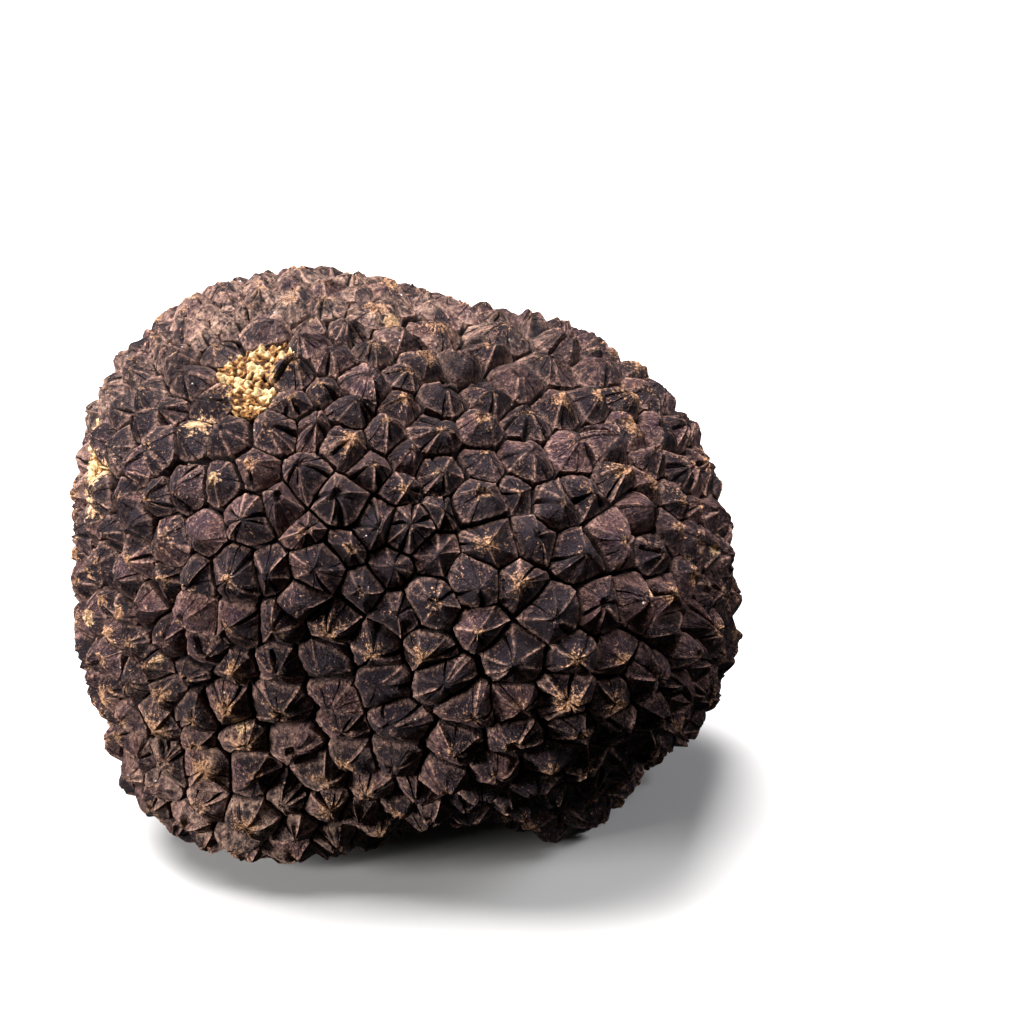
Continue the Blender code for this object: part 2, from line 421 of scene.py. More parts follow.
# Small spots worn down to the pale flesh: the middle of each, and its spread
BARE_SPOTS = (
    (mm(-15.9, -19.8, 43.0), 1.0 * MM),
    (mm(-14.6, -19.8, 19.8), 1.2 * MM),
    (mm(-25.6, -12.6, 15.9), 0.9 * MM),
    (mm(-28.5, -10.3, 26.0), 1.3 * MM),
    (mm(-21.6, -18.3, 25.3), 0.7 * MM),
    (mm(28.3, -8.3, 31.7), 1.0 * MM),
    (mm(25.9, -13.2, 32.9), 0.8 * MM),
    (mm(21.4, -19.5, 32.1), 0.9 * MM),
    (mm(-17.9, -15.2, 46.3), 1.5 * MM),
    (mm(-0.6, -3.3, 52.5), 1.6 * MM),
    (mm(-20.2, -6.5, 49.7), 1.0 * MM),
    (mm(-27.8, -8.6, 39.6), 2.2 * MM),
    (mm(-27.9, -9.9, 36.9), 1.8 * MM),
)

# Dry dust and painted light on the top and the left: the middle of each place, and its spread along X, Y and
# Z
DUST_AND_LIGHT_PLACES = (
    (mm(-14.0, 2.0, 53.0), mm(12.0, 9.0, 6.0)),
    (mm(4.0, 2.0, 53.0), mm(14.0, 8.0, 5.0)),
    (mm(-29.0, 2.0, 42.0), mm(4.0, 9.0, 7.0)),
    (mm(-17.2, -3.0, 51.9), mm(2.8, 2.2, 2.0)),
    (mm(-15.0, -18.0, 9.0), mm(15.0, 9.0, 9.0)),
)

# Crumbs of gold flesh lie around a broken place, as far as this share of its radius
CRUMBLED_SHARE = 1.3
CRUMBLED_PLACES = tuple((place, CRUMBLED_SHARE * radius) for place, radius in CHIPS)


def shade_and_darkening(points):
    """How much darker the rind is, partly painted shade: the sum over these places."""
    return sum(share * near(points, place, spread) for place, spread, share in SHADE_AND_DARK_PLACES)


def dusty_and_lit(points):
    """How much dust and painted light there is: the sum over these places of exp(-d²), d counted in spreads,
    1 at most.
    """
    total = np.zeros(points.shape[:-1])
    for place, spread in DUST_AND_LIGHT_PLACES:
        total += np.exp(-((((points - np.array(place)) / np.array(spread)) ** 2).sum(axis=-1)))
    return np.clip(total, 0, 1)


# Cracks of a wart: how many, how deep and how wide, each from the least to the most
CRACK_COUNT = (2, 7)
WIDE_CRACK_SHARE = 0.4
FINE_CRACK_DEPTH = mm(0.15, 0.4)
FINE_CRACK_WIDTH = mm(0.08, 0.18)
WIDE_CRACK_DEPTH = mm(0.5, 1.1)
WIDE_CRACK_WIDTH = mm(0.35, 1.0)
CRACK_BEGIN = (-0.1, 0.3)  # share of the way out where it begins
CRACK_END = (0.7, 1.9)  # and where it ends, past 1 on the wall
CRACK_ROOM = 3  # columns kept free on each side


def draw_cracks(cells, draw):
    """For each column: how deep a crack runs along it, how wide, and from where to where on the wart.

    A crack needs a free column on each side for its lips, and keeps off the columns of the corners.
    """
    shape = cells.marked.shape
    depth, width, begin, end = (np.zeros(shape) for _ in range(4))
    for row, marked in enumerate(cells.marked):
        free = ~(marked | np.roll(marked, 1) | np.roll(marked, -1))
        wanted = draw.integers(*CRACK_COUNT)
        for column in draw.permutation(cells.columns):
            if not free[column] or wanted == 0:
                continue
            wanted -= 1
            wide = draw.random() < WIDE_CRACK_SHARE
            depth[row, column] = draw.uniform(*(WIDE_CRACK_DEPTH if wide else FINE_CRACK_DEPTH))
            width[row, column] = draw.uniform(*(WIDE_CRACK_WIDTH if wide else FINE_CRACK_WIDTH))
            begin[row, column] = draw.uniform(*CRACK_BEGIN)
            end[row, column] = draw.uniform(*CRACK_END)
            free[np.arange(column - CRACK_ROOM, column + CRACK_ROOM + 1) % cells.columns] = False
    return depth, width, begin, end


# Columns of points round a wart, and how far out its rings stand: 1 at the shoulder, and 2 at the foot of the
# wall and again for the ring in the core. WALL_DROPS says how far the height has dropped along the wall.
COLUMNS = 48
FACET_RINGS = (0.06, 0.13, 0.2, 0.29, 0.41, 0.54, 0.68, 0.81, 0.92, 1.0)
WALL_SHARES = (0.35, 1.0)
WALL_DROPS = (0.65, 1.0)
OUT = np.array(FACET_RINGS + tuple(1 + share for share in WALL_SHARES) + (2.0,))[None, :, None]
FACET = np.minimum(OUT, 1)
PAST = np.clip(OUT - 1, 0, 1)

# How cracks open and run
CRACK_OPENS = 0.08  # on each side of where it begins
CRACK_CLOSES = (0.3, 0.1)  # before and past where it ends
CRACK_TIP_WIDTH = 0.4  # its width at the tip, as a share
CRACK_TIP_DEPTH = 0.35  # and its depth
LIP_LIMITS = (0.3, 1.6)  # how near and how far its lips stand, in columns
SWAY_TURN = 5  # radians on the way out
SWAY_SHARE = 0.35  # of a column

# Where the shoulder and the wall stand, as shares of the way to the border
SHOULDER_SHARE = 0.94
SHOULDER_LIMITS = (0.86, 0.98)
SHOULDER_SPREAD = 0.03
EDGE_SPREAD = 0.009
CORNER_TRIM = (0.0, 0.1)  # how much further in the shoulder stands at a corner
CORNER_TRIM_WIDTH = 0.5 * MM
WALL_FOOT_SHARE = 0.985
TURN_START = 0.6  # where the axis begins to turn towards the normal at the border
TIP_SHIFT = 0.35 * MM

# Heights: peaks, shoulders, corners, and the blocks between wide cracks
SHOULDER_HEIGHT = -0.3 * MM
ROOT_DEPTH = 1.9 * MM
ROOT_POINT = 0.4 * MM
RADIUS_SHARE = 0.55  # of a wart's width
MEAN_PEAK = PEAK_SLOPE * WART_WIDTH * RADIUS_SHARE
PEAK_GAIN = 1.2  # over the solid's height
FLAT_GAIN = 0.7  # and where the warts stand lower
EVENNESS = 0.5  # how far the heights draw together towards their mean
BLUNT_SHARE = (0.0, 0.3)  # of the radius, level before the facets fall
DOME_POWER = (1.0, 2.2)  # 1 gives straight facets, more gives bulging ones
CORNER_LIFT = 0.15 * MM
BLOCK_LIFT = 0.2 * MM
BLOCK_START = 0.4
LIFT_LIMIT = 1.6  # times the usual lift, up or down
CALM_SHARE = 0.6  # how much less the corners and blocks stand out where the warts are low

# Relief of the facets
HOLLOW_DEPTH = 0.24  # over the wart's radius
HOLLOW_OF_SIDE = (-0.45, 1)
HOLLOW_OF_WART = (0.25, 1)
HOLLOW_ACROSS = 0.8
HOLLOW_ALONG = 0.7
HOLLOW_SCALE = 3.1  # brings the deepest place to 1
RIDGE_HEIGHT = 0.13 * MM
RIDGE_WIDTH = 0.13 * MM
RIDGE_START = (0.1, 0.4)
RIDGE_OF_CORNER = (-0.3, 1.3)
RIM_HEIGHT = 0.06 * MM
RIM_START = 0.9
GROOVE_DEPTH = 0.045 * MM
GROOVE_START = 0.35
LUMP_LENGTH = 1.3 * MM
LUMP_HEIGHT = 0.08 * MM
CRUMB_LENGTH = 0.42 * MM
CRUMB_HEIGHT = 0.06 * MM
TIP_SHARE = 0.38  # of the radius that the crumbly tip takes
PIT_SHARE = 0.2
PIT_DEPTH = 0.5 * MM
PIT_OF_WART = (-0.7, 1)  # below 0 there is none
PIT_RIM = (0.25, 0.3, 0.1)  # its height over the pit's depth, its place and its width
PIT_MIDDLE = 0.3  # how much deeper the very middle is

# Marks for the material
FIBRE_REACH = (0.25, 0.6)
EARTHY_FIBRE = 0.3
EARTHY_REACH = 0.1
MOST_FIBRE = 1.1
# How much the tan fibres fade in the painted shade and the darker places
SHADE_FIBRE_LOSS = 1.4
# The rim mark paints a highlight along the shoulder, as the ridges do
RIM_MARK = (0.6, 0.96, 0.06)  # its strength, place and width
FULL_CRACK_DEPTH = 0.3 * MM
SPOKE_NUMBERS = 100


class FineWarts:
    """The fine surfaces of many warts at once, as arrays of warts by rings by columns.

    Each ring stands at a share of the way from the foot of the wart to its border, on the body, and is raised
    by a height. Past the shoulder the wall drops to the furrow and on into the core.
    """

    def __init__(self, cells, draw):
        self.cells = cells
        self.draw = draw
        self.count, self.columns = cells.places.shape
        self.most_sides = cells.lengths.shape[1]
        self.rows = np.arange(self.count)[:, None, None]
        self.open_cracks()
        self.lay_columns()
        self.lay_rings()
        self.raise_facets()
        self.roughen_facets()
        self.drop_walls()

    def per_wart(self, low, high):
        return self.draw.uniform(low, high, (self.count, 1, 1))

    def per_side(self, low, high):
        return self.draw.uniform(low, high, (self.count, self.most_sides))

    def lifts(self, most, usual):
        return self.draw.normal(size=(self.count, most)).clip(-LIFT_LIMIT, LIFT_LIMIT) * usual

    def open_cracks(self):
        """How far each crack stands open: a smooth step up where it begins, and down where it ends."""
        self.crack_depth, self.crack_width, begin, end = (
            each[:, None] for each in draw_cracks(self.cells, self.draw)
        )
        opening = smooth_step(OUT, begin - CRACK_OPENS, begin + CRACK_OPENS)
        closing = smooth_step(OUT, end - CRACK_CLOSES[0], end + CRACK_CLOSES[1])
        self.opening = opening * (1 - closing) * (self.crack_depth > 0)

    def lay_columns(self):
        """Where each column runs to on the border.

        The columns beside a crack are pulled to half its width from it, as its lips, and the crack and its
        lips sway by a sine of the way out.
        """
        whole = self.cells.sides[:, None, None]
        step = (np.roll(self.cells.places, -1, axis=1) - self.cells.places)[:, None] % whole
        side_length = self.cells.border(self.cells.places)[4][:, None]
        width = self.crack_width * (CRACK_TIP_WIDTH + (1 - CRACK_TIP_WIDTH) * FACET)
        half = width / 2 / (side_length * FACET * SHOULDER_SHARE)
        pull = (step - np.clip(half, LIP_LIMITS[0] * step, LIP_LIMITS[1] * step)) * self.opening
        begin = self.draw.uniform(0, 2 * np.pi, self.crack_depth.shape)
        sway = np.sin(SWAY_TURN * OUT + begin) * SWAY_SHARE * step * self.opening
        sway = sway + np.roll(sway, -1, axis=2) + np.roll(sway, 1, axis=2)
        places = self.cells.places[:, None] + np.roll(pull, -1, axis=2) - np.roll(pull, 1, axis=2) + sway
        places = places % whole
        self.border, self.normals, self.corner_gap, self.along, _ = self.cells.border(places)
        self.side = np.floor(places).astype(int) % whole
        self.next_side = (self.side + 1) % whole
        self.near_corner = np.where(self.along < 0.5, self.side, self.next_side)

    def lay_rings(self):
        """The share of the way out of each ring, and its points on the body.

        The shoulder's share differs a little by wart, side and column, and is less at the corners. The wall
        goes on from there to just inside the border.
        """
        by_side = self.draw.normal(size=(self.count, self.most_sides)) * SHOULDER_SPREAD
        by_side = by_side[self.rows, self.side]
        shoulder = SHOULDER_SHARE + by_side + self.per_wart(-SHOULDER_SPREAD, SHOULDER_SPREAD)
        shoulder += self.draw.normal(size=(self.count, 1, self.columns)) * EDGE_SPREAD
        trim = self.per_side(*CORNER_TRIM)[self.rows, self.near_corner]
        shoulder = np.clip(shoulder, *SHOULDER_LIMITS) - trim * bell(self.corner_gap, CORNER_TRIM_WIDTH)
        self.share = np.where(OUT <= 1, shoulder * OUT, shoulder + (WALL_FOOT_SHARE - shoulder) * PAST)
        shift = self.draw.uniform(-TIP_SHIFT, TIP_SHIFT, (self.count, 3))
        upward = self.cells.axes * (shift * self.cells.axes).sum(axis=-1)[:, None]
        self.feet = (self.cells.feet + shift - upward)[:, None, None]
        self.on_body = onto_body(self.feet + self.share[..., None] * (self.border - self.feet))

    def raise_facets(self):
        """Height = shoulder + (peak - shoulder) * (1 - s^power), where s is the share of the way from the
        blunt tip to the shoulder, plus the lift of the corners, shared out between them, and of the blocks.
        """
        blunt = self.per_wart(*BLUNT_SHARE)
        slope = 1 - (np.clip(FACET - blunt, 0, 1) / (1 - blunt)) ** self.per_wart(*DOME_POWER)
        low = near_any(self.cells.feet, FLAT_PLACES)
        even = self.cells.heights + EVENNESS * (MEAN_PEAK - self.cells.heights)
        peak = (even * (PEAK_GAIN + (FLAT_GAIN - PEAK_GAIN) * low))[:, None, None]
        calm = (1 - CALM_SHARE * low)[:, None, None]
        self.height = SHOULDER_HEIGHT + (peak - SHOULDER_HEIGHT) * slope
        lifts = self.lifts(self.most_sides, CORNER_LIFT)
        lift = lifts[self.rows, self.side] * (1 - self.along) + lifts[self.rows, self.next_side] * self.along
        self.height = self.height + lift * FACET * calm
        wide = (self.crack_depth > FINE_CRACK_DEPTH[1]).astype(int)
        block = np.cumsum(wide, axis=2) % np.maximum(wide.sum(axis=2, keepdims=True), 1)
        lift = self.lifts(CRACK_COUNT[1], BLOCK_LIFT)[self.rows, block]
        self.height += lift * smooth_step(FACET, 0, BLOCK_START) * calm

    def roughen_facets(self):
        """Adds hollows between the corners, a rim, ridges to the corners, radial grooves, lumps by smooth
        noise, finer crumbs and a pit with a low rim at the tip, and takes away the cracks.

        A hollow is as deep as sin(pi a)^across * f^along * (1 - f), for a share a along the side and f out.
        """
        radius = self.cells.radii[:, None, None]
        hollow = self.per_side(*HOLLOW_OF_SIDE)[self.rows, self.side] * self.per_wart(*HOLLOW_OF_WART)
        hollow = HOLLOW_DEPTH * radius * hollow * np.sin(np.pi * self.along) ** HOLLOW_ACROSS
        self.height -= hollow * HOLLOW_SCALE * FACET**HOLLOW_ALONG * (1 - FACET)
        self.height += RIM_HEIGHT * smooth_step(FACET, RIM_START, 1)
        ridge = bell(self.corner_gap * self.share, RIDGE_WIDTH) * smooth_step(FACET, *RIDGE_START)
        strength = self.per_side(*RIDGE_OF_CORNER).clip(0, None)
        self.ridge = ridge * strength[self.rows, self.near_corner]
        self.height += RIDGE_HEIGHT * self.ridge
        inner, outer = self.draw.normal(size=(2, self.count, 1, self.columns))
        groove = GROOVE_DEPTH * (inner * (1 - FACET) + outer * FACET)
        self.height += groove * smooth_step(FACET, 0, GROOVE_START)
        self.height += LUMP_HEIGHT * waves(self.on_body, LUMP_LENGTH, LUMP_SEED)
        crumbs = CRUMB_HEIGHT * waves(self.on_body, CRUMB_LENGTH, CRUMB_SEED)
        self.height += crumbs * bell(FACET, TIP_SHARE)
        self.pit = PIT_DEPTH * self.per_wart(*PIT_OF_WART).clip(0, 1)
        rim, rim_place, rim_width = PIT_RIM
        self.height -= self.pit * (bell(FACET, PIT_SHARE) - rim * bell(FACET - rim_place, rim_width))
        self.height -= self.crack_depth * self.opening * np.minimum(CRACK_TIP_DEPTH + FACET, 1)

    def drop_walls(self):
        """Down the wall, the height drops by shares to the furrow. The last ring is rooted in the core."""
        drop = np.interp(PAST, (0,) + WALL_SHARES, (0,) + WALL_DROPS)
        self.height -= drop * (self.height + FURROW_DEPTH)
        self.height = np.maximum(self.height, -FURROW_DEPTH)
        self.height[:, -1] = -ROOT_DEPTH

    def surface(self):
        """The points of the rings, each wart's tip and bottom, and the marks.

        A point is raised along the wart's axis, which turns into the normal near the border.
        """
        turn = smooth_step(self.share, TURN_START, 1)[..., None]
        up = unit(self.cells.axes[:, None, None] * (1 - turn) + self.normals * turn)
        points = bend(self.on_body) + up * self.height[..., None]
        feet = onto_body(self.feet[:, 0, 0])
        tip_height = self.height[:, 0].mean(axis=1) - PIT_MIDDLE * self.pit[:, 0, 0]
        tips = bend(feet) + self.cells.axes * tip_height[:, None]
        bottoms = feet - self.cells.axes * (ROOT_DEPTH + ROOT_POINT)
        return points, tips, bottoms, self.marks()

    def marks(self):
        """What the material reads at each point: the way out, how much of each wear and of painted light and
        shade
        there is, and a place for streaks: the turn round the wart as a cosine and a sine, with the wart's own
        number.
        """
        full = np.zeros_like(self.share)
        turn = np.arange(self.columns) * (2 * np.pi / self.columns) + full
        number = self.per_wart(0, SPOKE_NUMBERS) + full
        earthy = near(self.cells.feet, EARTHY_PLACE, EARTHY_SPREAD)[:, None, None]
        fibre = np.minimum(self.per_wart(0, 1) + EARTHY_FIBRE * earthy, MOST_FIBRE)
        fibre = fibre * bell(FACET, self.per_wart(*FIBRE_REACH) + EARTHY_REACH * earthy)
        tone = (self.per_wart(0, 1) + self.per_side(0, 1)[self.rows, self.side]) / 2
        rim, rim_place, rim_width = RIM_MARK
        return {
            "reach": OUT + full,
            # Ridges and the shoulder rim: wear and a painted highlight
            "ridge": self.ridge + rim * bell(FACET - rim_place, rim_width) * (OUT <= 1),
            "crack": self.opening * smooth_step(self.crack_depth, 0, FULL_CRACK_DEPTH),
            # Painted shade and darker places lower the tone and fade the tan fibres
            "tone": tone - shade_and_darkening(self.on_body),
            "fibre": fibre * (1 - SHADE_FIBRE_LOSS * shade_and_darkening(self.on_body)),
            "bare": near_any(self.on_body, BARE_SPOTS),
            # Dust, partly painted light on the top and the left
            "dust_and_light": dusty_and_lit(self.on_body),
            "gold": near_any(self.on_body, CRUMBLED_PLACES),
            "spoke": np.stack([np.cos(turn), np.sin(turn), number], axis=-1),
        }


FLESH_COLUMNS = 96
FLESH_RINGS = 26
FLESH_LEVEL = 0.3 * MM
FLESH_CRUMBS = (mm(1.9, 0.14), mm(1.0, 0.15), mm(0.6, 0.08))  # length and height
CRUMB_FOLD = 2.4
FULL_CRUMB = 0.22 * MM


def flesh_surface(cells):
    """The ground of broken warts: near the level of the body, with crumbs as a sum of folded smooth noises,
    which are size * (fold * |noise| - 1).
    """
    count, columns = cells.places.shape
    share = np.concatenate([np.arange(1, FLESH_RINGS + 1) / FLESH_RINGS, [1.0]])[None, :, None]
    border, normals = cells.border(cells.places[:, None] + np.zeros((1, share.shape[1], 1)))[:2]
    feet = cells.feet[:, None, None]
    on_body = onto_body(feet + share[..., None] * (border - feet))
    crumb = sum(
        size * (CRUMB_FOLD * np.abs(waves(on_body, length, FLESH_SEED + number)) - 1)
        for number, (length, size) in enumerate(FLESH_CRUMBS)
    )
    height = crumb - FLESH_LEVEL
    height[:, -1] = -ROOT_DEPTH
    points = bend(on_body) + normals * height[..., None]
    tips = bend(cells.feet) + cells.axes * height[:, 0].mean(axis=-1)[:, None]
    bottoms = cells.feet - cells.axes * (ROOT_DEPTH + ROOT_POINT)
    return points, tips, bottoms, {"crumb": crumb / FULL_CRUMB}


def fan_faces(count, rings, columns):
    """Triangles and squares of the closed surfaces: a fan at the tip, bands between rings, a fan below."""
    size = rings * columns + 2
    first = np.arange(count)[:, None] * size
    column = np.arange(columns)
    after = (column + 1) % columns
    top = np.stack(np.broadcast_arrays(first, first + 1 + column, first + 1 + after), axis=-1)
    ring = np.arange(rings - 1)[:, None] * columns
    low = first[:, :, None] + 1 + ring
    band = np.stack([low + column, low + columns + column, low + columns + after, low + after], axis=-1)
    last = first + 1 + (rings - 1) * columns
    below = np.stack(np.broadcast_arrays(first + size - 1, last + after, last + column), axis=-1)
    return top, band, below


# In a square of the flat map: the radius of the rings, and the middle and the radius of the bottom fan
DISC_RADIUS = 0.44
BOTTOM_PLACE = (0.42, 0.42)
BOTTOM_RADIUS = 0.06


def disc_map(count, rings, columns):
    """A flat map with a square for each surface: its rings as circles, its bottom fan small in a corner."""
    per_side = math.ceil(math.sqrt(count))
    tile = 1 / per_side
    number = np.arange(count)
    middle = np.stack([number % per_side + 0.5, number // per_side + 0.5], axis=-1)
    turn = np.arange(columns) * (2 * np.pi / columns)
    turned = np.stack([np.cos(turn), np.sin(turn)], axis=-1)
    after = np.roll(turned, -1, axis=0)
    width = DISC_RADIUS * (np.arange(1, rings + 1) / rings)[:, None, None]
    inner, outer = width[:-1], width[1:]
    tip = np.zeros((columns, 2))
    top = np.stack([tip, width[0] * turned, width[0] * after], axis=1)
    band = np.stack([inner * turned, outer * turned, outer * after, inner * after], axis=2)
    below = np.array(BOTTOM_PLACE) + BOTTOM_RADIUS * np.stack([tip, after, turned], axis=1)
    spread = lambda shape: (shape[None] + middle.reshape((-1,) + (1,) * (shape.ndim - 1) + (2,))) * tile
    return spread(top), spread(band), spread(below)


SHARP_ANGLE = math.radians(27)


def make_piece(name, points, faces, flat_map, material, marks):
    """A closed mesh from arrays, riding on the root and standing for the truffle's solid."""
    mesh = bpy.data.meshes.new(name)
    faces = [part.reshape(-1, part.shape[-1]) for part in faces]
    sizes = np.concatenate([np.full(len(part), part.shape[1]) for part in faces])
    loops = np.concatenate([part.ravel() for part in faces]).astype(np.int32)
    mesh.vertices.add(len(points))
    mesh.vertices.foreach_set("co", points.astype(np.float32).ravel())
    mesh.loops.add(len(loops))
    mesh.loops.foreach_set("vertex_index", loops)
    mesh.polygons.add(len(sizes))
    mesh.polygons.foreach_set("loop_start", (np.cumsum(sizes) - sizes).astype(np.int32))
    mesh.update(calc_edges=True)
    mesh.validate()
    for mark, values in marks.items():
        vector = values.ndim > 1
        attribute = mesh.attributes.new(mark, "FLOAT_VECTOR" if vector else "FLOAT", "POINT")
        attribute.data.foreach_set("vector" if vector else "value", values.astype(np.float32).ravel())
    places = np.concatenate([part.reshape(-1, 2) for part in flat_map])
    layer = mesh.uv_layers.new(name="OFBake")
    layer.uv.foreach_set("vector", places.astype(np.float32).ravel())
    mesh.shade_smooth()
    mesh.set_sharp_from_angle(angle=SHARP_ANGLE)
    mesh.materials.append(material)
    piece = bpy.data.objects.new(name, mesh)
    bpy.context.scene.collection.objects.link(piece)
    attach(piece, "root")
    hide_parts("truffle")


def rooted_piece(name, surface, material):
    """One piece from the surfaces of many cells, each with its tip first, then its rings, then its bottom."""
    points, tips, bottoms, marks = surface
    count, rings, columns = points.shape[:3]
    whole = np.concatenate([tips[:, None], points.reshape(count, -1, 3), bottoms[:, None]], axis=1)
    whole[..., 2] = np.maximum(whole[..., 2], 0)
    whole = whole.reshape(-1, 3) + TO_ORIGIN
    spread = {}
    for mark, values in marks.items():
        flat = values.reshape((count, rings * columns) + values.shape[3:])
        tip = values[:, 0].mean(axis=1)[:, None]
        spread[mark] = np.concatenate([tip, flat, flat[:, -1:]], axis=1).reshape((-1,) + values.shape[3:])
    shape = (count, rings, columns)
    make_piece(name, whole, fan_faces(*shape), disc_map(*shape), material, spread)


CORE_GRID = 64
CORE_DEPTH = 1.22 * MM
CORE_CLEARANCE = 0.05 * MM  # over the ground
CORE_LUMPS = (mm(1.1, 0.08), mm(0.6, 0.05))  # length and height
MAP_MARGIN = 0.01
SAME_DIGITS = 7  # points of two grids that agree to so many digits are one


def cube_sphere(level):
    """Six square grids bent onto a sphere, joined at their edges, and a flat map of three tiles by two."""
    line = np.tan(np.linspace(-np.pi / 4, np.pi / 4, level + 1))
    across, up = np.meshgrid(line, line, indexing="ij")
    directions, faces, flat = [], [], []
    for number in range(6):
        outward = np.zeros(3)
        outward[number // 2] = 1 if number % 2 else -1
        right = np.roll(outward, 1)
        above = np.cross(outward, right)
        grid = outward + across[..., None] * right + up[..., None] * above
        start = number * (level + 1) ** 2
        index = start + np.arange((level + 1) ** 2).reshape(level + 1, level + 1)
        square = (index[:-1, :-1], index[1:, :-1], index[1:, 1:], index[:-1, 1:])
        faces.append(np.stack(square, axis=-1).reshape(-1, 4))
        directions.append(unit(grid).reshape(-1, 3))
        step = np.linspace(MAP_MARGIN, 1 - MAP_MARGIN, level + 1)
        u, v = np.meshgrid((number % 3 + step) / 3, (number // 3 + step) / 2, indexing="ij")
        place = np.stack([u, v], axis=-1).reshape(-1, 2)
        flat.append(place[faces[-1] - start])
    directions = np.concatenate(directions)
    kept, index = np.unique(np.round(directions, SAME_DIGITS), axis=0, return_inverse=True)
    return unit(kept), index.reshape(-1)[np.concatenate(faces)], np.concatenate(flat)


def core_piece(material):
    """The body just under the furrows, with low lumps as a sum of smooth noises."""
    directions, faces, flat = cube_sphere(CORE_GRID)
    points = body_points(directions)
    lumps = sum(
        size * waves(points, length, CORE_SEED + number) for number, (length, size) in enumerate(CORE_LUMPS)
    )
    points = points + body_normals(points) * (lumps - CORE_DEPTH)[:, None]
    points[:, 2] = np.maximum(points[:, 2], CORE_CLEARANCE)
    make_piece("furrow_floor", points + TO_ORIGIN, [faces], [flat], material, {})


CROWN_LEVEL = 44.0 * MM
FOOT_LEVEL = 9.0 * MM


def wart_regions(warts):
    """Names and warts of the pieces: crown, feet, and four quarters between them."""
    level = warts.feet[:, 2]
    offset = warts.feet - CORE
    turn = np.degrees(np.arctan2(offset[:, 1], offset[:, 0])) % 360
    quarter = ((turn + 45) // 90).astype(int) % 4
    kept = ~warts.chipped
    belt = kept & (level <= CROWN_LEVEL) & (level >= FOOT_LEVEL)
    yield "crown_warts", np.flatnonzero(kept & (level > CROWN_LEVEL))
    yield "foot_warts", np.flatnonzero(kept & (level < FOOT_LEVEL))
    for number, name in enumerate(("right_warts", "rear_warts", "left_warts", "front_warts")):
        yield name, np.flatnonzero(belt & (quarter == number))


class Shader:
    """Adds nodes to a tree and joins them. An input, by its name or number, is a value or a socket."""

    def __init__(self, tree):
        self.tree = tree

    def add(self, kind, inputs=None, **settings):
        node = self.tree.nodes.new(kind)
        for setting, value in settings.items():
            setattr(node, setting, value)
        for key, value in (inputs or {}).items():
            if isinstance(value, bpy.types.NodeSocket):
                self.tree.links.new(value, node.inputs[key])
            else:
                node.inputs[key].default_value = value
        return node

    def link(self, socket, node, name):
        self.tree.links.new(socket, node.inputs[name])

    def maths(self, operation, first, second=0.0, third=0.0):
        return self.add("ShaderNodeMath", {0: first, 1: second, 2: third}, operation=operation).outputs[0]

    def times(self, first, second):
        return self.maths("MULTIPLY", first, second)

    def total(self, sources, parts):
        """The sum of the named sources, each times its share."""
        level = 0.0
        for name, share in parts.items():
            level = self.maths("MULTIPLY_ADD", sources[name], share, level)
        return level

    def mark(self, name, output="Fac"):
        return self.add("ShaderNodeAttribute", attribute_name=name).outputs[output]

    def mix(self, share, first, second):
        return self.add("ShaderNodeMix", {0: share, 6: first, 7: second}, data_type="RGBA").outputs[2]

    def step(self, value, low, high, to_low=0.0, to_high=1.0):
        """A smooth step from one value at the low level to another at the high level."""
        limits = {"Value": value, "From Min": low, "From Max": high, "To Min": to_low, "To Max": to_high}
        return self.add("ShaderNodeMapRange", limits, interpolation_type="SMOOTHSTEP").outputs[0]

    def noise(self, place, scale, detail=2.0, roughness=0.5):
        inputs = {"Vector": place, "Scale": scale, "Detail": detail, "Roughness": roughness}
        return self.add("ShaderNodeTexNoise", inputs).outputs["Fac"]

    def bump(self, height, distance, strength=1.0):
        inputs = {"Strength": strength, "Distance": distance, "Height": height}
        return self.add("ShaderNodeBump", inputs).outputs[0]

    def group(self, tree, inputs):
        return self.add("ShaderNodeGroup", inputs, node_tree=tree)


STREAK_NOISE = (1.0, 3.0, 0.6)
DRIFT_NOISE = (900.0, 1.0)
DRIFT_SHARE = 0.5


def spoke_grain_group():
    """Streaks from a wart's tip to its border: noise that changes round the wart, but hardly along it."""
    tree = bpy.data.node_groups.new("spoke_grain", "ShaderNodeTree")
    for name, direction in (("Streaks", "INPUT"), ("Along", "INPUT"), ("Grain", "OUTPUT")):
        tree.interface.new_socket(name, in_out=direction, socket_type="NodeSocketFloat")
    shader = Shader(tree)
    given, result = shader.add("NodeGroupInput"), shader.add("NodeGroupOutput")
    cosine, sine, number = shader.add("ShaderNodeSeparateXYZ", {0: shader.mark("spoke", "Vector")}).outputs
    place = shader.add("ShaderNodeTexCoord").outputs["Object"]
    drift = shader.times(shader.noise(place, *DRIFT_NOISE), DRIFT_SHARE)
    across = shader.times(cosine, given.outputs["Streaks"])
    up = shader.times(sine, given.outputs["Streaks"])
    along = shader.maths("MULTIPLY_ADD", shader.mark("reach"), given.outputs["Along"], number)
    along = shader.maths("ADD", along, drift)
    vector = shader.add("ShaderNodeCombineXYZ", {0: across, 1: up, 2: along}).outputs[0]
    shader.link(shader.noise(vector, *STREAK_NOISE), result, "Grain")
    return tree


def new_material(name):
    """A material, its shader tree and its Principled node."""
    material = bpy.data.materials.new(name)
    material.use_nodes = True
    shader = Shader(material.node_tree)
    return material, shader, material.node_tree.nodes["Principled BSDF"]


